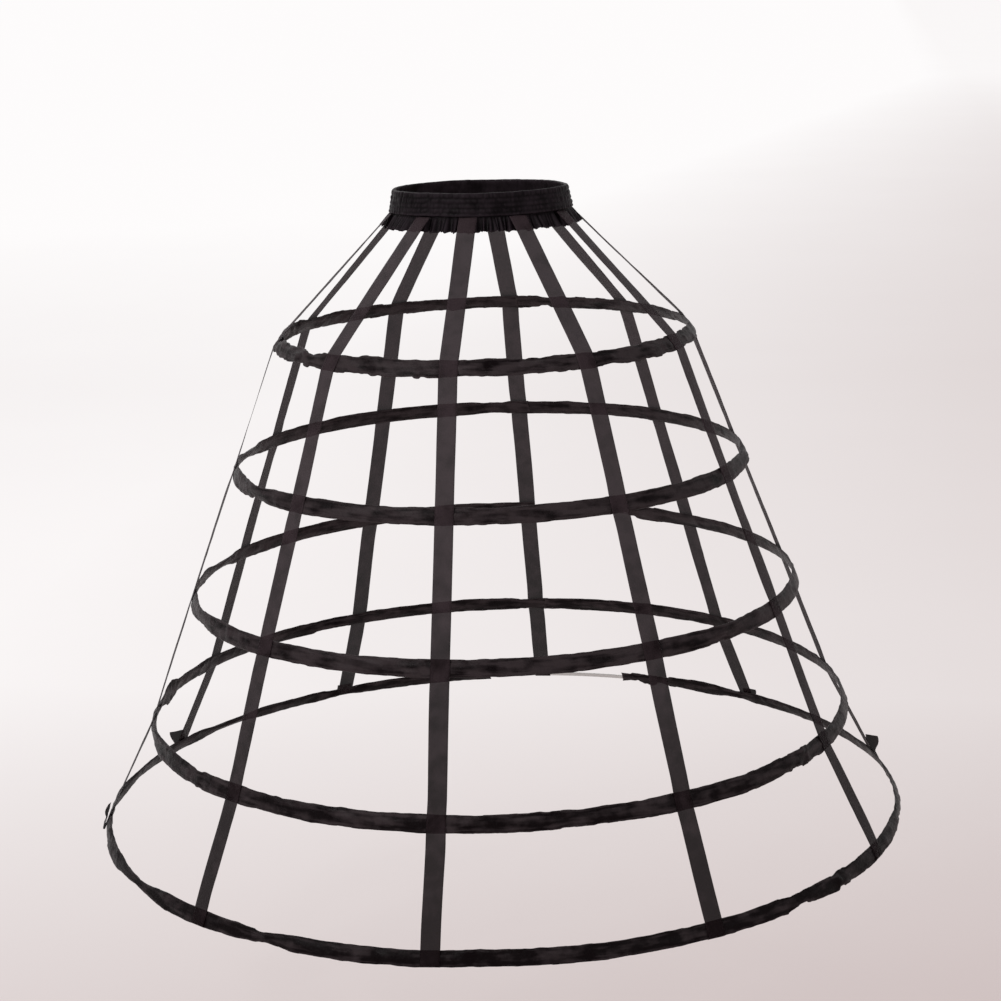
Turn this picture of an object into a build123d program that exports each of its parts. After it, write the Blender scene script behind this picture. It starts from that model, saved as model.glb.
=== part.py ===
from build123d import *
import os
from math import atan2, cos, degrees, radians, sin, sqrt

# A pull-on cage crinoline, in millimetres. The origin is the centre of the waist opening, halfway
# up the elasticated band. +Z is up and the wearer faces -Y. An azimuth is measured round +Z from
# the wearer's front (-Y) towards +X, so 90 is +X and 180 is the middle of the back.

# ---- driving dimensions ----

# Waistband: a cloth tube over flat elastic, with a ruffle below its lower stitch line.
WAIST_WIDTH = 214.0  # outside, across the top edge
WAIST_DEPTH = 174.0  # outside, front to back at the top edge
BAND_THICK = 5.0  # two gathered layers of cloth with the elastic between them
BAND_SPREAD = 5.0  # the lower edge stands this much further out than the top edge
BAND_CLOTH = 0.8
RUFFLE_HEIGHT = 17.0
RUFFLE_THICK = 1.2
RUFFLE_LEDGE = 2.6  # the ruffle starts this far in from the band's outer face
RUFFLE_SPREAD = 10.0
ELASTIC_WIDTH = 23.0
ELASTIC_THICK = 1.5

# Hoops, from the top one down: the radius of each ring's middle line and its drop below the waist.
HOOP_RADIUS = (252.0, 314.0, 375.0, 435.0, 500.0)
HOOP_DROP = (165.0, 320.0, 477.0, 635.0, 763.0)

# Casings: flat satin tubes with cut corners, lying along the slope of the skirt.
CASING_HEIGHT = (20.0, 20.0, 20.0, 20.0, 18.0)
CASING_THICK = 4.0
CASING_WALL = 0.6
CASING_CORNER = 1.4  # cut off each of its four corners
# The two ends of each casing, as azimuths from one side of the back to the other.
CASING_OPEN_FROM = (179.0, 179.3, 158.0, 179.4, 168.0)
CASING_OPEN_TO = (180.2, 180.3, 180.4, 180.2, 191.0)

# Bones: flat spring steel in a plastic coat, cut to length and joined end to end.
BONE_WIDTH = 6.0
BONE_THICK = 1.2
BONE_BUTT = 0.5  # the gap between the two ends
BUTT_AZIMUTH = 205.0
JOINER_LENGTH = 30.0

# Tapes: the azimuth at which each one was sewn.
TAPE_AZIMUTH = (0.0, 36.0, 71.0, 111.0, 144.5, 182.0, 216.5, 251.5, 285.0, 325.0)
TAPE_WIDTH = 22.0
TAPE_THICK = 0.5
TURN_UP = 28.0  # length of the end that is turned up inside the lowest hoop

# Clearances.
TAPE_GAP = 0.3  # tape to casing, and tape to waistband
ELASTIC_GAP = 0.3  # elastic to the outer wall of its pocket
ELASTIC_EASE = 1.2  # elastic to the top and the bottom of its pocket
JOINER_GAP = 0.1  # bone to the inside of its joiner
JOINER_EASE = 0.3  # joiner to the inside of its casing

# ---- worked-out sizes ----

BAND_HEIGHT = ELASTIC_WIDTH + 2 * (ELASTIC_EASE + BAND_CLOTH)  # sewn round the elastic
BAND_TOP = BAND_HEIGHT / 2
STITCH_LINE = -BAND_HEIGHT / 2
RUFFLE_HEM = STITCH_LINE - RUFFLE_HEIGHT
HOOPS = range(len(HOOP_RADIUS))
# A joiner's wall fills what the casing leaves it.
JOINER_WALL = (CASING_THICK - BONE_THICK) / 2 - CASING_WALL - JOINER_EASE - JOINER_GAP


def half_axes(inset, spread):
    """Half the width and half the depth of the band's outline, moved in by inset and out by spread."""
    out = spread - inset
    return WAIST_WIDTH / 2 + out, WAIST_DEPTH / 2 + out


def arc_angle(length, radius):
    """The angle in degrees that a length takes up on a ring."""
    return degrees(length / radius)


def radial_plane(azimuth):
    """The upright plane through the axis: its x runs outward at the azimuth and its y runs up."""
    a = radians(azimuth)
    return Plane(origin=(0, 0, 0), x_dir=(sin(a), -cos(a), 0), z_dir=(-cos(a), -sin(a), 0))


def ellipse_at(height, axes):
    """A level ellipse at a height."""
    with BuildSketch(Plane.XY.offset(height)) as outline:
        Ellipse(*axes)
    return outline.sketch


def elliptic_shell(top, bottom, insets, spreads):
    """A ring with straight sloping walls, between an outer and an inner inset."""
    outer, inner = insets
    with BuildPart() as shell:
        for inset, mode in ((outer, Mode.ADD), (inner, Mode.SUBTRACT)):
            upper = ellipse_at(top, half_axes(inset, spreads[0]))
            lower = ellipse_at(bottom, half_axes(inset, spreads[1]))
            loft([upper, lower], ruled=True, mode=mode)
    return shell.part


def spread_at(height):
    """How far the band's wall stands out at a height, on its slope from the top edge down."""
    return BAND_SPREAD * (BAND_TOP - height) / BAND_HEIGHT


def ellipse_reach(axes, azimuth, sideways):
    """How far out an ellipse reaches along an azimuth, on a line that far to one side of the axis."""
    a = radians(azimuth)
    wide, deep = axes
    # x = out * sin(a) + sideways * cos(a), and y = -out * cos(a) + sideways * sin(a)
    square = (sin(a) / wide) ** 2 + (cos(a) / deep) ** 2
    cross = sideways * sin(a) * cos(a) * (1 / wide**2 - 1 / deep**2)
    rest = sideways**2 * ((cos(a) / wide) ** 2 + (sin(a) / deep) ** 2) - 1
    return (-cross + sqrt(cross**2 - square * rest)) / square


def tape_start(azimuth):
    """Where a tape's inner face starts: under the band's ledge, and clear of the ruffle over its width."""
    drop = TAPE_GAP + TAPE_THICK
    axes = half_axes(RUFFLE_LEDGE, BAND_SPREAD + RUFFLE_SPREAD * drop / RUFFLE_HEIGHT)
    reach = max(ellipse_reach(axes, azimuth, side * TAPE_WIDTH / 2) for side in (-1, 0, 1))
    return reach + TAPE_GAP, STITCH_LINE - drop


def slope(i):
    """The lean of hoop i's casing from upright, in degrees: half way between the spans it joins."""
    waist = (half_axes(0, BAND_SPREAD)[1], -STITCH_LINE)
    stops = [waist, *zip(HOOP_RADIUS, HOOP_DROP)]
    above = stops[i]
    below = stops[min(i + 2, len(stops) - 1)]
    return degrees(atan2(below[0] - above[0], below[1] - above[1]))


def flat_section(i, width, thick, mode=Mode.ADD):
    """A flat rectangle on hoop i's middle line, leaning as the skirt slopes there."""
    with Locations(Location((HOOP_RADIUS[i], -HOOP_DROP[i]), 90 + slope(i))):
        Rectangle(width, thick, mode=mode)


def ring_tube(i, start, arc, outside, inside, corner=0.0):
    """A flat tube round hoop i: its outside and inside are each (width, thickness)."""
    with BuildSketch(radial_plane(start)) as bore:
        flat_section(i, *inside)
        if corner:
            chamfer(bore.vertices(), corner * inside[1] / outside[1])
    with BuildPart() as tube:
        with BuildSketch(radial_plane(start)) as section:
            flat_section(i, *outside)
            if corner:
                chamfer(section.vertices(), corner)
            add(bore.sketch_local, mode=Mode.SUBTRACT)
        revolve(axis=Axis.Z, revolution_arc=arc)
    return tube


def is_bare(i, azimuth):
    """Whether hoop i's bone is out of its casing at an azimuth."""
    return CASING_OPEN_FROM[i] < azimuth < CASING_OPEN_TO[i]


# ---- waistband ----

pocket_top = BAND_TOP - BAND_CLOTH
pocket_bottom = STITCH_LINE + BAND_CLOTH
band = elliptic_shell(BAND_TOP, STITCH_LINE, (0, BAND_THICK), (0, BAND_SPREAD))
ruffle = elliptic_shell(
    STITCH_LINE,
    RUFFLE_HEM,
    (RUFFLE_LEDGE, RUFFLE_LEDGE + RUFFLE_THICK),
    (BAND_SPREAD, BAND_SPREAD + RUFFLE_SPREAD),
)
pocket = elliptic_shell(
    pocket_top,
    pocket_bottom,
    (BAND_CLOTH, BAND_THICK - BAND_CLOTH),
    (spread_at(pocket_top), spread_at(pocket_bottom)),
)

with BuildPart() as waistband:
    add(band)
    add(ruffle)
    add(pocket, mode=Mode.SUBTRACT)

elastic_top = ELASTIC_WIDTH / 2
elastic_inset = BAND_CLOTH + ELASTIC_GAP

with BuildPart() as waist_elastic:
    add(
        elliptic_shell(
            elastic_top,
            -elastic_top,
            (elastic_inset, elastic_inset + ELASTIC_THICK),
            (spread_at(elastic_top), spread_at(-elastic_top)),
        )
    )


# ---- hoops ----


def make_casing(i):
    """A satin tube round hoop i, open across the back."""
    return ring_tube(
        i,
        CASING_OPEN_TO[i],
        360 - CASING_OPEN_TO[i] + CASING_OPEN_FROM[i],
        (CASING_HEIGHT[i], CASING_THICK),
        (CASING_HEIGHT[i] - 2 * CASING_WALL, CASING_THICK - 2 * CASING_WALL),
        CASING_CORNER,
    )


def make_bone(i):
    """A flat ring of coated steel with a butt gap."""
    butt = arc_angle(BONE_BUTT, HOOP_RADIUS[i])
    with BuildPart() as bone:
        with BuildSketch(radial_plane(BUTT_AZIMUTH + butt / 2)):
            flat_section(i, BONE_WIDTH, BONE_THICK)
        revolve(axis=Axis.Z, revolution_arc=360 - butt)
    return bone


def make_joiner(i):
    """A flat sleeve over the two ends of hoop i's bone."""
    span = arc_angle(JOINER_LENGTH, HOOP_RADIUS[i])
    clear = (BONE_WIDTH + 2 * JOINER_GAP, BONE_THICK + 2 * JOINER_GAP)
    outside = (clear[0] + 2 * JOINER_WALL, clear[1] + 2 * JOINER_WALL)
    return ring_tube(i, BUTT_AZIMUTH - span / 2, span, outside, clear)


# ---- tapes ----


def on_hoop(i, out, up):
    """A point beside hoop i's middle line: out from its flat face and up along it."""
    lean = radians(slope(i))
    x = HOOP_RADIUS[i] + out * cos(lean) - up * sin(lean)
    y = -HOOP_DROP[i] + out * sin(lean) + up * cos(lean)
    return x, y


def tape_line(azimuth):
    """The tape's inner face as a line: under the band, straight from hoop to hoop, and the turn-up."""
    out = CASING_THICK / 2 + TAPE_GAP
    last = HOOPS[-1]
    points = [tape_start(azimuth)]
    for i in HOOPS[:-1]:
        reach = CASING_HEIGHT[i] / 2
        points += [on_hoop(i, out, reach), on_hoop(i, out, -reach)]
    if is_bare(last, azimuth):
        out = BONE_THICK / 2 + TAPE_GAP
        reach = BONE_WIDTH / 2
    else:
        reach = CASING_HEIGHT[last] / 2 - CASING_THICK / 2
    points += [on_hoop(last, out, reach), on_hoop(last, out, -reach)]
    Polyline(*points)
    ThreePointArc(points[-1], on_hoop(last, 0, -reach - out), on_hoop(last, -out, -reach))
    Line(on_hoop(last, -out, -reach), on_hoop(last, -out, TURN_UP - reach))


def make_tape(azimuth):
    """A flat ribbon in one piece from the waistband to its turned-up end."""
    with BuildPart() as tape:
        with BuildSketch(radial_plane(azimuth)):
            with BuildLine():
                tape_line(azimuth)
                offset(amount=TAPE_THICK, side=Side.LEFT, closed=True)
            make_face()
        extrude(amount=TAPE_WIDTH / 2, both=True)
    return tape


pieces = {"waistband": waistband, "waist_elastic": waist_elastic}
for i in HOOPS:
    pieces[f"hoop_casing_{i + 1}"] = make_casing(i)
    pieces[f"hoop_bone_{i + 1}"] = make_bone(i)
    pieces[f"bone_joiner_{i + 1}"] = make_joiner(i)
for number, azimuth in enumerate(TAPE_AZIMUTH, start=1):
    pieces[f"tape_{number}"] = make_tape(azimuth)

os.makedirs("parts", exist_ok=True)
for name, piece in pieces.items():
    piece.part.label = name
    export_step(piece.part, f"parts/{name}.step")
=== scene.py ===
import math

import bpy
import numpy as np
from mathutils import Matrix, Vector


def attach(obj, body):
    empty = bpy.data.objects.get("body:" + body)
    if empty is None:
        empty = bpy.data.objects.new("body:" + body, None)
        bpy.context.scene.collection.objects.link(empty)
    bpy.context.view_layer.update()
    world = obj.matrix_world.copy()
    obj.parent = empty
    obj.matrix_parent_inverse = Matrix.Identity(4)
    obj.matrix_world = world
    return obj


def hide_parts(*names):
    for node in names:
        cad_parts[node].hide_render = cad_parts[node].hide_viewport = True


# A pull-on cage crinoline. Everything is in metres, in the CAD model's own frame: +Z is up, the
# wearer faces -Y, and an azimuth is in degrees round +Z from -Y towards +X. A constant in another
# unit says so.

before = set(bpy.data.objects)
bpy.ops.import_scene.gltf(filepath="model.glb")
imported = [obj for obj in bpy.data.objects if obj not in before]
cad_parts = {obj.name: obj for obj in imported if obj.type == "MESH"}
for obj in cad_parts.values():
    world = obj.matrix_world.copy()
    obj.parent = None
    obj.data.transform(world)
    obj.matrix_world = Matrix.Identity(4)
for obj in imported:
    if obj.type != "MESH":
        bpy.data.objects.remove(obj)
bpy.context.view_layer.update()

MM = 0.001
HOOPS = range(5)
TAPES = range(10)
scene = bpy.context.scene


# ---- the camera, at the photograph's viewing angle ----

CAMERA_AWAY = 2.761
CAMERA_AZIMUTH = math.radians(9.7)
CAMERA_HEIGHT = 0.2765
CAMERA_YAW = math.radians(9.47)
CAMERA_DOWN = math.radians(13.32)
CAMERA_ROLL = math.radians(-2.09)
CAMERA_LENS = 81.85  # millimetres, as is the sensor
CAMERA_SENSOR = 36.0

camera_data = bpy.data.cameras.new("camera")
camera_data.lens = CAMERA_LENS
camera_data.sensor_width = CAMERA_SENSOR
camera = bpy.data.objects.new("camera", camera_data)
scene.collection.objects.link(camera)
camera_place = Matrix.Translation(
    (
        CAMERA_AWAY * math.sin(CAMERA_AZIMUTH),
        -CAMERA_AWAY * math.cos(CAMERA_AZIMUTH),
        CAMERA_HEIGHT,
    )
)
camera_turn = (
    Matrix.Rotation(CAMERA_YAW, 4, "Z")
    @ Matrix.Rotation(math.pi / 2 - CAMERA_DOWN, 4, "X")
    @ Matrix.Rotation(CAMERA_ROLL, 4, "Z")
)
camera.matrix_world = camera_place @ camera_turn
bpy.context.scene.camera = camera


# ---- small tools ----


def smooth(x):
    return x * x * (3 - 2 * x)


def noise(seed, u, v=0.5, around=0):
    """Smooth noise from -1 to 1, with one lattice cell per unit of u and v.

    It repeats in u after around cells, where around isn't 0.
    """
    u, v = np.broadcast_arrays(np.asarray(u, float), np.asarray(v, float))
    cols = around or int(np.ceil(np.abs(u).max())) + 4
    rows = int(np.ceil(np.abs(v).max())) + 4
    lattice = np.random.default_rng(seed).uniform(-1, 1, (2 * cols, 2 * rows))
    iu, iv = np.floor(u).astype(int), np.floor(v).astype(int)
    fu, fv = smooth(u - iu), smooth(v - iv)
    period = around or 2 * cols

    def at(a, b):
        return lattice[(iu + a) % period, (iv + b) % (2 * rows)]

    low = at(0, 0) * (1 - fu) + at(1, 0) * fu
    high = at(0, 1) * (1 - fu) + at(1, 1) * fu
    return low * (1 - fv) + high * fv


def near(azimuth, middle, width):
    """1 at the middle azimuth, falling smoothly to 0 at width on each side."""
    away = np.abs((np.asarray(azimuth) - middle + 180) % 360 - 180)
    return smooth(np.clip(1 - away / width, 0, 1))


def outward(azimuth):
    """The unit vectors out along an azimuth and sideways to it, towards larger azimuths."""
    a = np.radians(azimuth)
    zero = np.zeros_like(a)
    return np.stack([np.sin(a), -np.cos(a), zero], -1), np.stack([np.cos(a), np.sin(a), zero], -1)


def azimuth_of(points):
    return np.degrees(np.arctan2(points[:, 0], -points[:, 1])) % 360


def vertices(node):
    return np.array([v.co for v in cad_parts[node].data.vertices], float)


def steps_along(line):
    """How far along a line of points each of them is."""
    return np.concatenate([[0], np.cumsum(np.linalg.norm(np.diff(line, axis=0), axis=1))])


def grid_mesh(name, points, uvs, wrap_u=False, wrap_v=False):
    """A quad mesh from a grid of points (nu, nv, 3), with a UV map in metres."""
    nu, nv = points.shape[:2]
    index = np.arange(nu * nv).reshape(nu, nv)
    a = index if wrap_u else index[:-1]
    b = np.roll(index, -1, 0) if wrap_u else index[1:]
    if wrap_v:
        quads = np.stack([a, b, np.roll(b, -1, 1), np.roll(a, -1, 1)], -1)
    else:
        quads = np.stack([a[:, :-1], b[:, :-1], b[:, 1:], a[:, 1:]], -1)
    quads = quads.reshape(-1, 4)
    mesh = bpy.data.meshes.new(name)
    mesh.from_pydata(points.reshape(-1, 3).tolist(), [], quads.tolist())
    layer = mesh.uv_layers.new(name="UVMap")
    corners = uvs.reshape(-1, 2)[quads.reshape(-1)].astype(np.float32)
    layer.data.foreach_set("uv", corners.reshape(-1))
    mesh.polygons.foreach_set("use_smooth", [True] * len(quads))
    mesh.update()
    obj = bpy.data.objects.new(name, mesh)
    scene.collection.objects.link(obj)
    return obj


def finish_piece(piece, thickness, mat, replaced):
    """Gives a sheet its thickness and material, and puts it in the place of its CAD solid."""
    mod = piece.modifiers.new("cloth", "SOLIDIFY")
    mod.thickness = thickness
    mod.offset = 0
    mod.use_even_offset = False
    piece.data.materials.append(mat)
    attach(piece, "root")
    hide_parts(replaced)


# ---- where the CAD pieces are ----

END_FACE = 0.99  # how nearly a casing's flat end face looks along its hoop, as a cosine
ENDS_MEET = 2.0  # degrees: in a smaller opening, the casing's two raw ends lie on each other
ENDS_OVERLAP = 0.4  # degrees that each of them then lies past the opening
TIP = {2: 1.3}  # degrees that a hoop's pinched end reaches past its CAD tube
TAPE_TOP = 0.2 * MM  # the points this near its highest one are a tape's top edge


def section_of(i):
    """Hoop i's middle radius, height and lean, from the corners of its bone's flat section."""
    co = vertices(f"hoop_bone_{i + 1}")
    rz = np.stack([np.hypot(co[:, 0], co[:, 1]), co[:, 2]], -1)
    middle = (rz.min(0) + rz.max(0)) / 2
    across = rz[rz[:, 0].argmax()] - rz[rz[:, 1].argmax()]
    return middle[0], middle[1], math.atan2(across[0], -across[1])


def casing_of(i):
    """Hoop i's casing: its height, and the azimuths of its two ends from its flat end faces."""
    co = vertices(f"hoop_casing_{i + 1}")
    radius, level, lean = SECTION[i]
    r, z = np.hypot(co[:, 0], co[:, 1]) - radius, co[:, 2] - level
    up = -r * math.sin(lean) + z * math.cos(lean)
    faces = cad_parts[f"hoop_casing_{i + 1}"].data.polygons
    middles = azimuth_of(np.array([face.center for face in faces], float))
    normals = np.array([face.normal for face in faces], float)
    facing = (normals * outward(middles)[1]).sum(-1)
    start = middles[facing < -END_FACE].mean()
    end = middles[facing > END_FACE].mean() + 360
    gap = start + 360 - end
    if gap < ENDS_MEET:
        start, end = start - gap / 2 - ENDS_OVERLAP, end + gap / 2 + ENDS_OVERLAP
    return 2 * np.abs(up).max(), start, end + TIP.get(i, 0)


def tape_of(k):
    """Tape k's azimuth, its width and the middle of its top edge as (out, up)."""
    co = vertices(f"tape_{k + 1}")
    middle = co[:, :2].mean(0)
    azimuth = math.degrees(math.atan2(middle[0], -middle[1]))
    out, side = outward(azimuth)
    wide = co @ side
    top = co[co[:, 2] > co[:, 2].max() - TAPE_TOP]
    return azimuth % 360, wide.max() - wide.min(), ((top @ out).mean(), top[:, 2].mean())


SECTION = [section_of(i) for i in HOOPS]
CASING = [casing_of(i) for i in HOOPS]
TAPE = [tape_of(k) for k in TAPES]


def on_hoop(i, out, up):
    """A point's distance from the axis and its height, from its place beside hoop i's middle."""
    radius, level, lean = SECTION[i]
    away = radius + out * math.cos(lean) - up * math.sin(lean)
    height = level + out * math.sin(lean) + up * math.cos(lean)
    return away, height


# ---- materials ----

WAVE_PERIOD = 2 * math.pi / 20  # of Blender's wave texture at scale 1
THREAD_DISTORTION = 0.4
THREAD_TONE = 0.12  # how much the threads show in the colour
CLOUD_SCALE = 55.0  # noise per metre
CREASE_SCALE = 260.0
# Painted highlight streaks along a tube:
STREAK_SCALE = (22, 230, 1)  # per metre along and round a tube
STREAK_FACTOR = (0.35, 0.65)  # the noise from the darkest to the lightest streak
# Painted light on ridges and painted shade in hollows:
POINTINESS = (0.42, 0.58)  # from a hollow to a ridge
CLOTH_TONE = (0.35, 0.8)  # the tones that get a cloth's darkest and lightest colour
CREASE_STRENGTH = 0.6
WEAVE_STRENGTH = 0.5
GRAIN_STRENGTH = 0.4


def new_material(name):
    mat = bpy.data.materials.new(name)
    mat.use_nodes = True
    return mat, mat.node_tree, mat.node_tree.nodes["Principled BSDF"]


def set_sockets(shader, sockets):
    for key, value in sockets.items():
        shader.inputs[key.replace("_", " ")].default_value = value


def node(tree, kind, inputs=(), **settings):
    made = tree.nodes.new(kind)
    for key, value in settings.items():
        setattr(made, key, value)
    for key, value in dict(inputs).items():
        if isinstance(value, bpy.types.NodeSocket):
            tree.links.new(value, made.inputs[key])
        else:
            made.inputs[key].default_value = value
    return made


def texture_noise(tree, vector, scale, detail, **more):
    inputs = {"Vector": vector, "Scale": scale, "Detail": detail, **more}
    return node(tree, "ShaderNodeTexNoise", inputs).outputs["Fac"]


def ramp(tree, factor, low, high, start=0.3, end=0.7):
    """A colour that goes from low to high as the factor goes from start to end."""
    made = node(tree, "ShaderNodeValToRGB", {"Fac": factor})
    made.color_ramp.elements[0].position = start
    made.color_ramp.elements[1].position = end
    made.color_ramp.elements[0].color = (*low, 1)
    made.color_ramp.elements[1].color = (*high, 1)
    return made.outputs["Color"]


def spread(tree, factor, low, high, start=0.3, end=0.7):
    """A number that goes from low to high as the factor goes from start to end."""
    inputs = {"Value": factor, "From Min": start, "From Max": end, "To Min": low, "To Max": high}
    return node(tree, "ShaderNodeMapRange", inputs).outputs["Result"]


def math_node(tree, what, a, b):
    return node(tree, "ShaderNodeMath", {0: a, 1: b}, operation=what).outputs[0]


def bump(tree, height, distance, strength, **more):
    inputs = {"Height": height, "Distance": distance, "Strength": strength, **more}
    return node(tree, "ShaderNodeBump", inputs).outputs["Normal"]


def bands(tree, uv, direction, period):
    """Threads across the cloth: a wave along one direction of the UV map."""
    inputs = {"Vector": uv, "Scale": WAVE_PERIOD / period, "Distortion": THREAD_DISTORTION}
    made = node(tree, "ShaderNodeTexWave", inputs, bands_direction=direction, wave_profile="SIN")
    return made.outputs["Fac"]


def cloth(
    name, low, high, rough, warp, weft, depth, crease, ridge_light_hollow_shade=0.0, painted_light_by_height=None, painted_highlight_streaks=0.0, **sockets
):
    """Woven cloth from its own surface, between two colours and two roughnesses.

    warp and weft are the threads' spacing, and depth and crease how deep the weave and the fine
    creases are. The rest paint light and shade into the tone: the ridges' weight paints light on
    ridges and shade in hollows, the streaks' weight paints long soft highlights where gathered
    cloth lies in folds along a tube, and the painted shade by height makes it blacker lower down
    and lighter higher up: it holds the change at the bottom and at the top, and those two heights.
    """
    mat, tree, shader = new_material(name)
    uv = node(tree, "ShaderNodeUVMap", uv_map="UVMap").outputs["UV"]
    spot = node(tree, "ShaderNodeTexCoord").outputs["Object"]
    cloud = texture_noise(tree, spot, CLOUD_SCALE, 4.0)
    fine = texture_noise(tree, spot, CREASE_SCALE, 6.0, Roughness=0.6, Distortion=0.8)
    across, along = bands(tree, uv, "X", warp), bands(tree, uv, "Y", weft)
    threads = math_node(tree, "MULTIPLY", across, along)
    tone = math_node(tree, "ADD", cloud, math_node(tree, "MULTIPLY", threads, THREAD_TONE))
    # painted light on ridges and painted shade in hollows, from the mesh's pointiness
    pointiness = node(tree, "ShaderNodeNewGeometry").outputs["Pointiness"]
    tone = math_node(tree, "ADD", tone, spread(tree, pointiness, -ridge_light_hollow_shade, ridge_light_hollow_shade, *POINTINESS))
    # painted highlights: long soft streaks along the tube
    if painted_highlight_streaks:
        drawn = node(tree, "ShaderNodeMapping", {"Vector": uv, "Scale": STREAK_SCALE})
        folds = texture_noise(tree, drawn.outputs["Vector"], 1.0, 2.0)
        tone = math_node(tree, "ADD", tone, spread(tree, folds, -painted_highlight_streaks, painted_highlight_streaks, *STREAK_FACTOR))
    # painted shade lower down and painted light higher up
    if painted_light_by_height:
        height = node(tree, "ShaderNodeSeparateXYZ", {"Vector": spot}).outputs["Z"]
        tone = math_node(tree, "ADD", tone, spread(tree, height, *painted_light_by_height))
    tree.links.new(ramp(tree, tone, low, high, *CLOTH_TONE), shader.inputs["Base Color"])
    tree.links.new(spread(tree, cloud, *rough), shader.inputs["Roughness"])
    creased = bump(tree, fine, crease, CREASE_STRENGTH)
    woven = bump(tree, threads, depth, WEAVE_STRENGTH, Normal=creased)
    tree.links.new(woven, shader.inputs["Normal"])
    set_sockets(shader, sockets)
    return mat


def hard(name, low, high, rough, scale, depth, stretch=(1, 1, 1), **sockets):
    """A firm surface: faint colour change, and scratches or grain from its own surface."""
    mat, tree, shader = new_material(name)
    spot = node(tree, "ShaderNodeTexCoord").outputs["Object"]
    drawn = node(tree, "ShaderNodeMapping", {"Vector": spot, "Scale": stretch}).outputs["Vector"]
    grain = texture_noise(tree, drawn, scale, 5.0)
    tree.links.new(ramp(tree, grain, low, high), shader.inputs["Base Color"])
    tree.links.new(spread(tree, grain, *rough), shader.inputs["Roughness"])
    tree.links.new(bump(tree, grain, depth, GRAIN_STRENGTH), shader.inputs["Normal"])
    set_sockets(shader, sockets)
    return mat


# Painted light and shade in the satin's colour: on ridges, in hollows, in streaks and by height.
SATIN = cloth(
    "black satin",
    low=(0.0040, 0.0018, 0.0023),
    high=(0.0360, 0.0270, 0.0290),
    rough=(0.34, 0.50),
    warp=0.35 * MM,
    weft=0.5 * MM,
    depth=0.05 * MM,
    crease=0.9 * MM,
    ridge_light_hollow_shade=0.3,
    painted_light_by_height=(-0.155, 0.09, -0.763, -0.477),
    painted_highlight_streaks=0.24,
    Specular_IOR_Level=0.07,
)
# Painted shade lower down and painted light higher up in the ribbon's colour.
RIBBON = cloth(
    "black taffeta ribbon",
    low=(0.0080, 0.0035, 0.0045),
    high=(0.0400, 0.0270, 0.0310),
    rough=(0.5, 0.62),
    warp=0.5 * MM,
    weft=0.42 * MM,
    depth=0.07 * MM,
    crease=0.25 * MM,
    painted_light_by_height=(-0.2, 0.22, -0.74, -0.30),
    Specular_IOR_Level=0.08,
    Alpha=0.845,
)
# Painted light on ridges and painted shade in hollows in the gathered cloth's colour.
BAND = cloth(
    "black gathered cloth",
    low=(0.0018, 0.0006, 0.0012),
    high=(0.0175, 0.0120, 0.0155),
    rough=(0.40, 0.56),
    warp=0.4 * MM,
    weft=0.4 * MM,
    depth=0.06 * MM,
    crease=0.7 * MM,
    ridge_light_hollow_shade=0.4,
    Specular_IOR_Level=0.07,
)
COAT = hard(
    "white plastic coat",
    low=(0.52, 0.51, 0.50),
    high=(0.64, 0.63, 0.61),
    rough=(0.28, 0.42),
    scale=240.0,
    depth=0.05 * MM,
)
STEEL = hard(
    "crimped steel",
    low=(0.42, 0.41, 0.40),
    high=(0.58, 0.57, 0.56),
    rough=(0.25, 0.45),
    scale=500.0,
    depth=0.03 * MM,
    stretch=(1, 1, 6),
    Metallic=1.0,
)
ELASTIC = hard(
    "woven elastic",
    low=(0.010, 0.010, 0.011),
    high=(0.022, 0.021, 0.022),
    rough=(0.7, 0.85),
    scale=900.0,
    depth=0.1 * MM,
    stretch=(1, 1, 4),
)

for name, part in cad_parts.items():
    look = COAT if "hoop_bone" in name else STEEL if "joiner" in name else ELASTIC
    for material_slot in part.material_slots:
        material_slot.material = look


# ---- casings ----

CASING_STEP = 2.0 * MM
CASING_AROUND = 24
CASING_CLOTH = 0.4 * MM
CASING_HALF_THICK = 1.5 * MM
CASING_GIRTH = 2.1  # the cloth round a tube, as a multiple of its height
SQUARE_UP, SQUARE_OUT = 0.75, 0.85  # how square the section is: an ellipse would have 1
PRESSED = 0.3 * MM  # half the thickness where two layers of cloth lie flat on each other
CORE_HEIGHT = 5.6 * MM  # the bone keeps the tube open to this far up and down
CORE_FADE = 1.6 * MM
ROOM_OUT = 1.45 * MM  # the room that the bone and its joiner need inside
ROOM_UP = 3.9 * MM
TAPE_ZONE = 20 * MM  # how far from a tape's middle it presses the cloth
UNDER_TAPE = 1.85 * MM  # how far out the cloth may stand under a tape
BESIDE_TAPE = 8 * MM  # and how much further beside it
FRAY_CUT = 2.2 * MM  # how unevenly the raw ends are cut
FRAY_CELLS = 7
FRAY_RUN = 0.02
NOISE_START = 40  # where each hoop begins in its noise
FOLD_START = (60, 9)
INNER_FACE = 300.0  # how far off in the noise the inner face's folds are
STEP_STEEP = 5  # how much faster a step changes than its wave
STEP_WANDER = 0.8  # how far the steps stray from an even spacing
SHARP_FROM = 0.3  # how crumpled a tube is where its edges turn sharp
WILDER = 1.2  # how much more the edges wave, for each unit of crumpling
FOLD_SLANT = 0.5  # how far along a fold lies for each metre up
FOLD_DEPTHS = (1.5, 1.1)  # of a smooth tube, and added for each unit of crumpling
THICK_SOON = 2.5  # how soon the section gets its least thickness away from its two edges
# How much of each a tape flattens: crumpling and waves, spots and sharp edges, folds, thickness.
FLAT_WAVES, FLAT_SPOTS, FLAT_FOLDS, FLAT_PUFF = 0.5, 0.9, 0.6, 0.25

# The cloth's folds: noise seed, length along the tube and depth in millimetres.
FOLDS = ((11, 0.019, 0.62), (12, 0.010, 0.40), (13, 0.0055, 0.2))
FOLD_UP = 0.007
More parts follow.
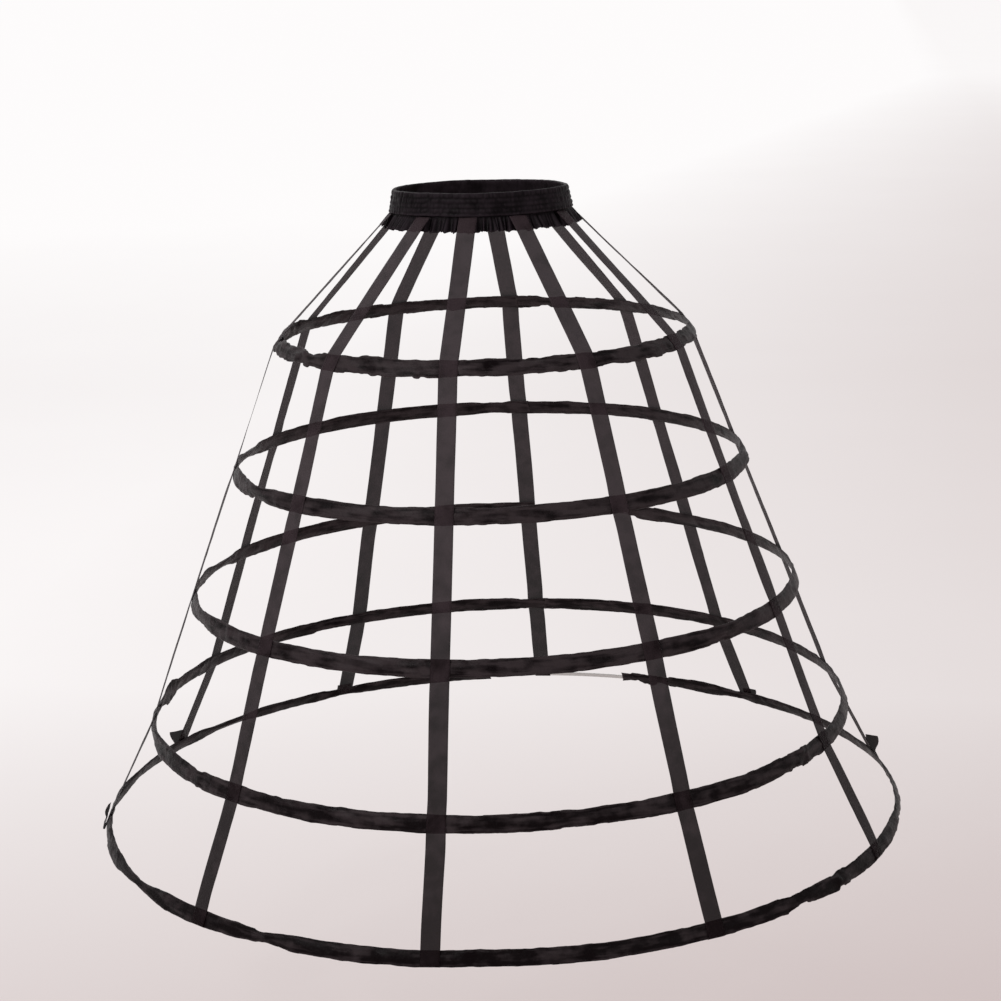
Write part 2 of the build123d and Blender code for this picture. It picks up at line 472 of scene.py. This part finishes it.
# Waves along a tube: noise seed, length, and size in millimetres, or in degrees for the twist.
SLANT, TWIST, RISE, SWELL = (5, 0.06, 0.7), (6, 0.11, 5), (7, 0.14, 0.7), (8, 0.09, 0.35)
# Each edge of a casing: its long and short waves, the seed and length of its steps and of its
# finest waves, the steps' height in millimetres, and how much both grow where the edge is sharp.
TOP_EDGE = ((1, 0.030, 0.7), (2, 0.009, 0.35), (21, 0.0135), (9, 0.0045), 0.35, 1.3, 0.35)
BOTTOM_EDGE = ((3, 0.034, 0.7), (4, 0.008, 0.35), (22, 0.0125), (10, 0.0045), 0.4, 1.6, 0.5)

ROUGH = (1.0, 0.25, 0.3, 0.35, 0.25)  # how crumpled each tube is all round
# What the photograph shows along each hoop: azimuth, half width in degrees, then how far the tube
# twists in degrees, how much narrower it gets, extra crumpling, and its lift in millimetres.
SPOTS = (
    ((315, 12, 0, 0.1, 0.8, 0.0), (338, 7, 14, 0.0, 0.6, 0.6), (23, 8, -8, 0.1, 0.4, 0.0),
     (170, 7, 0, 0.2, 0.6, 0.8), (262, 14, 20, 0.1, 1.4, 0.0), (285, 6, -25, 0.1, 1.4, 0.5)),
    ((308, 10, 25, 0.2, 0.6, 0.0), (12, 7, 0, 0.12, 0.4, 0.0), (90, 8, -30, 0.2, 0.7, 0.0),
     (188, 6, 0, 0.15, 0.9, 0.5), (268, 10, -30, 0.2, 0.6, 0.0)),
    ((300, 9, 20, 0.15, 0.5, 0.0), (55, 8, 15, 0.1, 0.5, 0.0), (159, 3, 0, 0.55, 1.0, 0.0),
     (153, 5, 10, 0.1, 1.1, 0.0), (262, 9, -30, 0.25, 0.8, 0.0)),
    ((292, 8, 18, 0.0, 0.9, 0.4), (270, 5, 20, -0.25, 1.6, 0.4), (279, 5, -20, 0.35, 0.8, 0.0),
     (62, 8, 12, 0.0, 1.5, 0.5), (20, 8, 0, 0.08, 0.4, 0.0), (184, 4, 0, 0.25, 0.9, 0.0),
     (222, 10, 30, 0.3, 0.5, 0.0), (315, 3, 0, 0.15, 1.2, 0.3), (255, 5, 0, -0.2, 1.2, 0.5)),
    ((309, 10, -25, 0.58, 0.0, 0.0), (289, 8, 12, -0.2, 1.2, 0.0), (272, 8, 30, 0.52, 0.6, 0.0),
     (217, 7, 30, 0.45, 0.4, 0.0), (337, 5, 0, 0.35, 0.5, -0.6), (51, 5, 10, 0.05, 2.0, 0.0),
     (60, 4, -10, 0.0, 2.0, 0.0), (88, 7, 20, 0.1, 2.0, 0.0), (163, 7, 0, 0.28, 3.0, 0.0),
     (153.5, 4, 0, -0.2, 0.5, 0.0), (147, 4, 25, 0.55, 0.0, 0.0), (240, 7, -30, 0.4, 0.2, 0.0)),
)
# How far the tapes have slipped sideways on each hoop, in millimetres.
TAPE_DRIFT = {1: (0.0, 3.0, 6.5, 7.0, 5.5), 9: (0.0, 0.0, 0.0, 1.0, 7.0)}
NO_DRIFT = (0.0, 0.0, 0.0, 0.0, 0.0)


def narrowing(i, azimuth):
    """How much narrower hoop i's casing is at an azimuth, as a share of its height."""
    return sum(near(azimuth, spot[0], spot[1]) * spot[3] for spot in SPOTS[i])


def tape_cover(i, azimuth):
    """How firmly a tape presses on hoop i's casing at an azimuth, from 0 to 1."""
    radius = SECTION[i][0]
    cover = 0.0
    for k, (middle, _, _) in enumerate(TAPE):
        slip = math.degrees(TAPE_DRIFT.get(k, NO_DRIFT)[i] * MM / radius)
        cover = cover + near(azimuth, middle + slip, math.degrees(TAPE_ZONE / radius))
    return cover


def make_casing(i):
    radius = SECTION[i][0]
    height, start, end = CASING[i]
    count = round(math.radians(end - start) * radius / CASING_STEP)
    az = np.linspace(start, end, count + 1)[:, None]
    theta = np.linspace(0, 2 * np.pi, CASING_AROUND, endpoint=False)[None, :]
    s = np.radians(az - start) * radius
    length = s.max()

    # raw ends: each is cut a little unevenly and frays
    ragged = FRAY_CUT * noise(70 + i, theta / (2 * np.pi) * FRAY_CELLS, around=FRAY_CELLS)
    at_start = smooth(np.clip(1 - s / FRAY_RUN, 0, 1))
    at_end = smooth(np.clip(1 - (length - s) / FRAY_RUN, 0, 1))
    az = az + np.degrees(ragged * (at_end - at_start) / radius)
    s = s + 0 * theta

    # how the tube lies there
    cover = tape_cover(i, az)
    twist, crumple, lift = 0.0, ROUGH[i] * (1 - FLAT_WAVES * cover), 0.0
    for middle, width, turn, _, rough, rise in SPOTS[i]:
        weight = near(az, middle, width) * (1 - FLAT_SPOTS * cover)
        twist = twist + weight * turn
        crumple = crumple + weight * rough
        lift = lift + weight * rise
    wild = (1 + WILDER * crumple) * (1 - FLAT_WAVES * cover)
    sharp = np.maximum(0, crumple - SHARP_FROM) * MM * (1 - FLAT_SPOTS * cover)

    def along(seed, wave, size=1.0):
        return size * noise(100 * i + seed, s / wave + NOISE_START)

    def steps(seed, wave):
        """Levels that hold and then step, as where the gathered cloth folds over itself."""
        x = s / wave + NOISE_START + along(seed + 40, 2 * wave, STEP_WANDER)
        x = np.floor(x) + np.clip(STEP_STEEP * (x - np.floor(x)), 0, 1)
        return noise(100 * i + seed, x)

    def edge(long, short, stepped, finest, step, step_grows, finest_grows):
        waves = (along(*long) + along(*short)) * MM * wild
        waves = waves + (step * MM + step_grows * sharp) * steps(*stepped)
        return waves + finest_grows * sharp * along(*finest)

    # its section
    u = np.sign(np.cos(theta)) * np.abs(np.cos(theta)) ** SQUARE_UP
    o = np.sign(np.sin(theta)) * np.abs(np.sin(theta)) ** SQUARE_OUT
    ragged_edge = np.where(u > 0, u * edge(*TOP_EDGE), -u * edge(*BOTTOM_EDGE))
    up = height / 2 * u * (1 - narrowing(i, az)) + ragged_edge
    face = np.where(o > 0, 0.0, INNER_FACE)
    slanted = s + (along(*SLANT) + FOLD_SLANT) * up
    folds = 0.0
    for seed, wave, deep in FOLDS:
        across = slanted / wave + FOLD_START[0] + face
        folds = folds + deep * noise(100 * i + seed, across, up / FOLD_UP + FOLD_START[1])
    folds = folds * MM * (FOLD_DEPTHS[0] + FOLD_DEPTHS[1] * crumple) * (1 - FLAT_FOLDS * cover)
    thick = np.abs(o) * (CASING_HALF_THICK * (1 - FLAT_PUFF * cover) + folds)

    # a twisted tube stays thick enough for its bone
    swing = np.radians(twist + along(*TWIST) * (1 - cover))
    core = ROOM_OUT * np.cos(swing) + (ROOM_UP - PRESSED) * np.abs(np.sin(swing))
    kept_open = smooth(np.clip((CORE_HEIGHT - np.abs(up)) / CORE_FADE, 0, 1))
    least = PRESSED + (core - PRESSED) * kept_open
    out = np.sign(o) * np.maximum(thick, least * np.minimum(1, np.abs(o) * THICK_SOON))
    up, out = up * np.cos(swing) - out * np.sin(swing), out * np.cos(swing) + up * np.sin(swing)
    up = up + (along(*RISE) + lift) * MM
    out = out + along(*SWELL) * MM * (1 - cover)

    # the tube always goes round the bone, and lies under the tapes
    reach = np.hypot(out, up)
    sine, cosine = np.abs(up) / reach, np.abs(out) / reach
    room = np.minimum(ROOM_OUT / np.maximum(cosine, 1e-6), ROOM_UP / np.maximum(sine, 1e-6))
    grow = np.maximum(1, room / reach)
    limit = UNDER_TAPE + (1 - np.clip(cover * 2, 0, 1)) * BESIDE_TAPE
    away, level = on_hoop(i, np.clip(out * grow, -limit, limit), up * grow)

    points = outward(az)[0] * away[..., None]
    points[..., 2] = level
    uvs = np.stack([s, theta / (2 * np.pi) * CASING_GIRTH * height + 0 * s], -1)
    piece = grid_mesh(f"casing_satin_{i + 1}", points, uvs, wrap_v=True)
    finish_piece(piece, CASING_CLOTH, SATIN, f"hoop_casing_{i + 1}")


for i in HOOPS:
    make_casing(i)


# ---- tapes ----

TAPE_STEP = 3 * MM
TAPE_ACROSS = 9
TAPE_CLOTH = 0.3 * MM
TAPE_OFF = 2.3 * MM  # the tape's middle from a hoop's middle line
BARE_OFF = 1.15 * MM  # the same on the lowest hoop's bare bone
BARE_REACH = 3 * MM  # half the bone's height
TUCK = 2 * MM  # how much higher than the casing's lower edge a tape turns round it
TURN_POINTS = 8
END_POINTS = 10
TAPE_HELD = 0.03  # how far from a hoop or the waistband a tape is held
TAPE_FOLLOWS = 0.8  # how closely a tape follows its hoop's curve
TAPE_START = 3  # where each tape begins in its noise
# Sizes and lengths of the waves in a tape's width, its sway, twist, cupping and fine ripple.
WIDTH_WAVE = (0.25 * MM, 0.05)
SWAY = (1.1 * MM, 0.12)
TURNING = (np.radians(5.0), 0.10)
CUP = (0.35 * MM, 0.07)
RIPPLE = (0.12 * MM, 0.011)
RIPPLE_HELD = 0.25  # how much of it is left where the tape is held
END_CRUMPLE = 0.7 * MM
CRUMPLE_POINTS = 3  # the crumples' length along the turned-up end, in points

TURN_UP = {3: 30, 4: 15, 6: 21, 7: 22, 8: 27}  # the ends that the photograph shows, in millimetres
TURN_UP_HIDDEN = 12  # behind the casing
# The ends that are folded back outwards, not inwards. In millimetres or degrees: how far each lies
# to one side, how far it stands away from the casing, and how far it is twisted.
FOLDED_OUT = (3, 4, 7, 8)
FOLD_RADIUS = 1.3
END_ASIDE = {3: -4.0, 4: -4.5, 6: 6.0, 7: 3.0, 8: 0.0}
END_STANDS = {3: 7.0, 4: 2.0, 6: 1.0, 7: 9.0, 8: 4.5}
END_STANDS_HIDDEN = 0.6
END_TWIST = {3: 28.0, 4: 8.0, 7: -24.0, 8: -14.0}


def tape_line(k):
    """Tape k's middle line as points (out, up), and how many come before its turned-up end."""
    azimuth, _, top = TAPE[k]
    last = HOOPS[-1]
    corners = [np.array(top)]
    for i in HOOPS:
        height, start, stop = CASING[i]
        bare = (azimuth - start) % 360 > stop - start
        reach = height / 2
        if i == last and bare:
            reach = BARE_REACH
        elif i == last:
            reach = max(BARE_REACH, reach * (1 - narrowing(i, azimuth)) - TUCK)
        off = BARE_OFF if bare and i == last else TAPE_OFF
        corners += [np.array(on_hoop(i, off, reach)), np.array(on_hoop(i, off, -reach))]
    knots = [corners[0]]
    for a, b in zip(corners, corners[1:]):
        count = max(1, round(np.linalg.norm(b - a) / TAPE_STEP))
        knots += [a + (b - a) * n / count for n in range(1, count + 1)]

    # round the lowest edge, and up again
    outside = k in FOLDED_OUT
    for n in range(1, TURN_POINTS + 1):
        turn = math.pi * n / TURN_POINTS
        if outside:
            round_off = off + FOLD_RADIUS * MM * (1 - math.cos(turn))
            deep = FOLD_RADIUS * MM
        else:
            round_off = off * math.cos(turn)
            deep = off
        knots.append(on_hoop(last, round_off, -reach - deep * math.sin(turn)))
    before_end = len(knots)
    for n in range(1, END_POINTS + 1):
        up = TURN_UP.get(k, TURN_UP_HIDDEN) * MM * n / END_POINTS
        stands = END_STANDS.get(k, END_STANDS_HIDDEN) * MM * smooth(max(0.0, (n - 4) / 6))
        knots.append(on_hoop(last, round_off + (stands if outside else -stands), up - reach))
    return np.array(knots), before_end


def make_tape(k):
    azimuth, width, _ = TAPE[k]
    line, end = tape_line(k)
    tangent = np.gradient(line, axis=0)
    tangent /= np.linalg.norm(tangent, axis=1)[:, None]
    normal = np.stack([-tangent[:, 1], tangent[:, 0]], -1)
    s = steps_along(line)
    along = s[:, None]
    c = np.linspace(-1, 1, TAPE_ACROSS)[None, :]

    # free between hoops, held at each of them
    levels = [level for _, level, _ in SECTION]
    gaps = [np.abs(line[:, 1] - level) for level in levels]
    held = sum(smooth(np.clip(1 - gap / TAPE_HELD, 0, 1)) for gap in gaps)
    held = np.clip(held + smooth(np.clip(1 - s / TAPE_HELD, 0, 1)), 0, 1)[:, None]
    free = 1 - held

    def wander(seed, size, wave, across=0.5):
        return size * noise(seed + k, along / wave + TAPE_START, across)

    half = width / 2 + wander(900, *WIDTH_WAVE)
    sway = wander(910, *SWAY) * free
    twist = wander(920, *TURNING) * free
    cup = wander(930, *CUP) * free
    ripple = wander(940, *RIPPLE, c * 2 + 5) * (RIPPLE_HELD + (1 - RIPPLE_HELD) * free)
    depths = [-level for level in levels]
    drift = np.interp(-line[:, 1], depths, TAPE_DRIFT.get(k, NO_DRIFT))[:, None] * MM

    # the turned-up end lies to one side, twists and crumples
    after = np.arange(len(s) - end)
    aside = np.zeros_like(along)
    aside[end:, 0] = END_ASIDE.get(k, 0.0) * MM * smooth(np.minimum(1, (after + 1) / 6))
    twist[end:, 0] += np.radians(END_TWIST.get(k, 0.0)) * smooth(np.clip((after - 3) / 4, 0, 1))
    crumple = np.zeros((len(s), TAPE_ACROSS))
    crumpling = noise(950 + k, after[:, None] / CRUMPLE_POINTS + TAPE_START, c * 2 + 5)
    crumple[end:] = END_CRUMPLE * crumpling * np.minimum(1, after[:, None] / 4)

    sideways = c * half * np.cos(twist) + sway + aside + drift
    lifted = c * half * np.sin(twist) + cup * (1 - 2 * c**2) + ripple + crumple
    direction, side = outward(azimuth)
    away = line[:, None, 0] + normal[:, None, 0] * lifted
    points = direction * away[..., None] + side * sideways[..., None]
    points[..., 2] = line[:, None, 1] + normal[:, None, 1] * lifted
    # on the hoops the ribbon follows their curve
    bend = (sideways**2 / (2 * np.maximum(line[:, None, 0], 0.1))) * held
    points[..., :2] -= direction[:2] * bend[..., None] * TAPE_FOLLOWS
    uvs = np.stack([along + 0 * c, c * width / 2 + 0 * along], -1)
    piece = grid_mesh(f"ribbon_{k + 1}", points, uvs)
    finish_piece(piece, TAPE_CLOTH, RIBBON, f"tape_{k + 1}")


for k in TAPES:
    make_tape(k)


# ---- waistband ----

ROUND_STEP = 0.8 * MM
BAND_CLOTH = 0.3 * MM
GATHERED = 1.5  # the cloth's length before gathering, as a multiple of the waist's girth
ROWS = (0.55, 0.13, -0.29, -0.71)  # the shirring rows, as shares of the band's half height
LEDGE = 2.6 * MM  # how far in the band's lower edge is pulled at the stitch line
HEM_CLOTH = 1.0 * MM  # between the ruffle's outer and inner layer
GATHER_BASE, GATHER_RELIEF = 0.35, 0.95  # how far a lane stands out, in millimetres
INNER_GATHER = -0.45  # the inner layer's relief, as a share of the outer one's
ROW_DEPTH = 0.5 * MM
LANE_ROUND = 0.6  # how round a lane is across: 1 is a sine, and less is flatter
PLEAT_DEPTH = 4.6 * MM
PLEAT_SHIFT = 3.0 * MM
PLEAT_ROUND = 0.7
PLEAT_OPENS = 0.6  # how soon the pleats open below the stitch line
PATH_POINTS = 20000  # for walking evenly round the waist's ellipse
# Waves round the band: size, noise seed and length in millimetres. A row's number is added to the
# seeds of its lane's gathers.
LANE_GATHERS = ((0.75, 400, 2.3), (0.45, 410, 5.5))
SHARED_GATHERS = ((0.6, 399, 3.1),)
PLEATS = ((0.9, 420, 4.2), (0.9, 421, 2.6), (0.4, 422, 1.8))
PLEAT_LEAN = ((1.0, 423, 4.2),)
FRAYED = ((1.5, 424, 9), (1.6, 425, 2.4), (1.3, 428, 1.6))
BAND_WAVES = ((0.9, 426, 45), (0.25, 427, 6))

band_co = vertices("waistband")
BAND_TOP = band_co[:, 2].max()
HEM = band_co[:, 2].min()
STITCH = -BAND_TOP


def half_axes_at(level):
    ring = band_co[np.abs(band_co[:, 2] - level) < 0.3 * MM]
    return np.abs(ring[:, 0]).max(), np.abs(ring[:, 1]).max()


WIDE, DEEP = half_axes_at(BAND_TOP)
BAND_OUT = half_axes_at(STITCH)[0] - WIDE
HEM_OUT = half_axes_at(HEM)[0] - WIDE


def band_profile():
    """The strip's section from its outer hem up, over the top fold and down to its inner hem.

    Points (out, up) from the top edge's ellipse, and how many of them are on the outer side.
    """

    def run(a, b, n):
        """n points evenly from a to just before b."""
        return [tuple(np.array(a) + (np.array(b) - np.array(a)) * t / n) for t in range(n)]

    ledge = BAND_OUT - LEDGE
    inner_hem = (HEM_OUT - HEM_CLOTH, HEM + HEM_CLOTH)
    outer = (
        run((HEM_OUT, HEM), (ledge, STITCH), 10)
        + run((ledge, STITCH), (BAND_OUT - 0.7 * MM, STITCH + 0.6 * MM), 2)
        + run((BAND_OUT - 0.5 * MM, STITCH + 0.8 * MM), (-0.4 * MM, BAND_TOP - 0.9 * MM), 20)
        + run((-0.5 * MM, BAND_TOP - 0.6 * MM), (-2.5 * MM, BAND_TOP), 3)
        + run((-2.5 * MM, BAND_TOP), (-4.6 * MM, BAND_TOP - 0.8 * MM), 3)
    )
    inner = (
        run((-4.6 * MM, BAND_TOP - 0.9 * MM), (BAND_OUT - 4.7 * MM, STITCH + 0.8 * MM), 10)
        + run((BAND_OUT - 4.5 * MM, STITCH + 0.5 * MM), (ledge - 0.9 * MM, STITCH - 0.5 * MM), 2)
        + run((ledge - 1.0 * MM, STITCH - 0.8 * MM), inner_hem, 8)
        + [inner_hem]
    )
    return np.array(outer + inner), len(outer)


def make_waistband():
    profile, outer_count = band_profile()
    out, z = profile[None, :, 0], profile[None, :, 1]
    girth = np.pi * (3 * (WIDE + DEEP) - math.sqrt((3 * WIDE + DEEP) * (WIDE + 3 * DEEP)))
    count = round(girth / ROUND_STEP)
    turn = np.linspace(0, 2 * np.pi, PATH_POINTS, endpoint=False)
    path = np.stack([WIDE * np.sin(turn), -DEEP * np.cos(turn)], -1)
    walked = np.cumsum(np.linalg.norm(np.diff(path, axis=0, append=path[:1]), axis=1))
    t = np.interp(np.arange(count) / count * walked[-1], walked, turn)[:, None]
    s = (np.arange(count) / count * girth)[:, None]

    def waves(rows, row=0):
        total = 0.0
        for size, seed, wave in rows:
            cells = round(girth / (wave * MM))
            total = total + size * noise(seed + row, s / girth * cells, around=cells)
        return total

    # the shirred lanes between the stitch rows
    lanes = len(ROWS) + 1
    rank = np.searchsorted(-np.array(ROWS), -z / BAND_TOP)
    edges = np.array([1.0, *ROWS, -1.0]) * BAND_TOP
    upper, lower = edges[np.clip(rank, 0, lanes)], edges[np.clip(rank + 1, 0, lanes)]
    across = np.clip((upper - z) / np.maximum(upper - lower, 1e-6), 0, 1)
    puff = np.sin(np.pi * across) ** LANE_ROUND
    on_band = (z > STITCH + 0.5 * MM) & (z < BAND_TOP - 0.5 * MM)
    outer = np.arange(len(profile))[None, :] < outer_count
    gathers = np.zeros((count, len(profile)))
    for row in range(lanes):
        gathers += np.where(rank == row, waves(LANE_GATHERS, row) + waves(SHARED_GATHERS), 0)
    face = np.where(outer, 1.0, INNER_GATHER)
    relief = face * puff * (GATHER_BASE + GATHER_RELIEF * gathers) * MM
    relief = np.where(on_band, relief, 0)
    relief = np.where(on_band & outer, relief - (1 - puff) * ROW_DEPTH, relief)

    # the ruffle's pleats and frayed hem
    below = np.clip((STITCH - z) / (STITCH - HEM), 0, 1)
    pleats = waves(PLEATS)
    pleats = np.sign(pleats) * np.abs(pleats) ** PLEAT_ROUND
    relief = relief + below**PLEAT_OPENS * PLEAT_DEPTH * pleats
    angle = t + below * PLEAT_SHIFT * waves(PLEAT_LEAN) / ((WIDE + DEEP) / 2)
    height = z + below**2 * waves(FRAYED) * MM + waves(BAND_WAVES) * MM * (z > STITCH)

    away = out + relief
    x, y = (WIDE + away) * np.sin(angle), -(DEEP + away) * np.cos(angle)
    points = np.stack([x, y, height + 0 * t], -1)
    width = steps_along(profile)
    uvs = np.stack([s * GATHERED + 0 * width[None, :], width[None, :] + 0 * s], -1)
    piece = grid_mesh("waistband_cloth", points, uvs, wrap_u=True)
    finish_piece(piece, BAND_CLOTH, BAND, "waistband")


make_waistband()


# ---- floor, lights and world ----

FLOOR = -1.06
FLOOR_REACH = 900.0
FLOOR_GLOW = 0.92  # the floor is mostly lit by itself, so the object's shadow is faint
WHITE = (1.0, 0.985, 0.985)
WARM = (0.48, 0.375, 0.365)
FLOOR_TONE = (0.45, 1.0)  # the tones that are warm and white
FLOOR_MIDDLE = 0.4  # how far in front of the axis the line is that its tone mirrors across
# The painted light's change in tone from one distance to another: across, close by and far off.
TONE_ACROSS = (0.12, -0.135, -1.4, 1.4)
TONE_CLOSE = (-0.23, 0.0, 0.2, 1.7)
TONE_FAR = (0.0, 0.30, 4.9, 22.4)
TONE_MIDDLE = 0.79
TONE_MOTTLE = 0.02
WORLD_LIGHT = (0.24, 0.64, -0.6, 0.9)  # its strength from in front and from behind
AIM = (0, 0, -0.4)
# Each lamp's place, size and power in watts.
LAMPS = {
    "key": ((-2.0, -2.4, 2.3), (1.0, 1.0), 74),
    "fill": ((2.6, -2.4, 1.2), (1.0, 1.0), 16),
    "back": ((-1.5, 3.0, 1.6), (2.4, 1.6), 12),
}

scene.view_settings.view_transform = "Standard"


def painted_floor_light(tree):
    """Painted light and shade on the glowing paper: paler far away and on the key light's side,
    warmer where it is darker.
    """
    spot = node(tree, "ShaderNodeTexCoord").outputs["Object"]
    mottle = texture_noise(tree, spot, 1.5, 3.0)
    split = node(tree, "ShaderNodeSeparateXYZ", {"Vector": spot})
    across = spread(tree, split.outputs["X"], *TONE_ACROSS)
    beyond = math_node(tree, "ADD", split.outputs["Y"], FLOOR_MIDDLE)
    away = math_node(tree, "ABSOLUTE", beyond, 0.0)
    close = spread(tree, away, *TONE_CLOSE)
    far = spread(tree, away, *TONE_FAR)
    tone = math_node(tree, "ADD", math_node(tree, "ADD", across, close), far)
    tone = math_node(tree, "ADD", tone, math_node(tree, "MULTIPLY", mottle, TONE_MOTTLE))
    tone = math_node(tree, "ADD", tone, TONE_MIDDLE)
    return ramp(tree, tone, WARM, WHITE, *FLOOR_TONE)


floor_mesh = bpy.data.meshes.new("floor")
floor_corners = [
    (x * FLOOR_REACH, y * FLOOR_REACH, FLOOR) for x, y in ((-1, -1), (1, -1), (1, 1), (-1, 1))
]
floor_mesh.from_pydata(floor_corners, [], [(0, 1, 2, 3)])
floor = bpy.data.objects.new("floor", floor_mesh)
scene.collection.objects.link(floor)
floor_mat, floor_tree, floor_shader = new_material("pale floor")
# the floor glows with this painted light and painted shade
floor_tree.links.new(painted_floor_light(floor_tree), floor_shader.inputs["Emission Color"])
floor_sockets = {
    "Emission Strength": FLOOR_GLOW,
    "Base Color": (0.16, 0.155, 0.155, 1),
    "Roughness": 0.9,
    "Specular IOR Level": 0.0,
}
set_sockets(floor_shader, floor_sockets)
floor_mesh.materials.append(floor_mat)

for name, (position, size, power) in LAMPS.items():
    lamp_data = bpy.data.lights.new(name, "AREA")
    lamp_data.shape = "RECTANGLE"
    lamp_data.size, lamp_data.size_y = size
    lamp_data.energy = power
    lamp_data.color = WHITE
    lamp = bpy.data.objects.new(name, lamp_data)
    scene.collection.objects.link(lamp)
    aim = (Vector(AIM) - Vector(position)).to_track_quat("-Z", "Y")
    lamp.matrix_world = Matrix.Translation(position) @ aim.to_matrix().to_4x4()

# the world lights the object less from the front, and looks evenly white itself
world = bpy.data.worlds.new("studio")
scene.world = world
world.use_nodes = True
world_tree = world.node_tree
direction = node(world_tree, "ShaderNodeTexCoord").outputs["Generated"]
toward = node(world_tree, "ShaderNodeSeparateXYZ", {"Vector": direction}).outputs["Y"]
lighting = spread(world_tree, toward, *WORLD_LIGHT)
seen = node(world_tree, "ShaderNodeLightPath").outputs["Is Camera Ray"]
strength = node(world_tree, "ShaderNodeMix", {"Factor": seen, "A": lighting, "B": 1.0})
background = world_tree.nodes["Background"]
world_tree.links.new(strength.outputs["Result"], background.inputs["Strength"])
background.inputs["Color"].default_value = (*WHITE, 1)
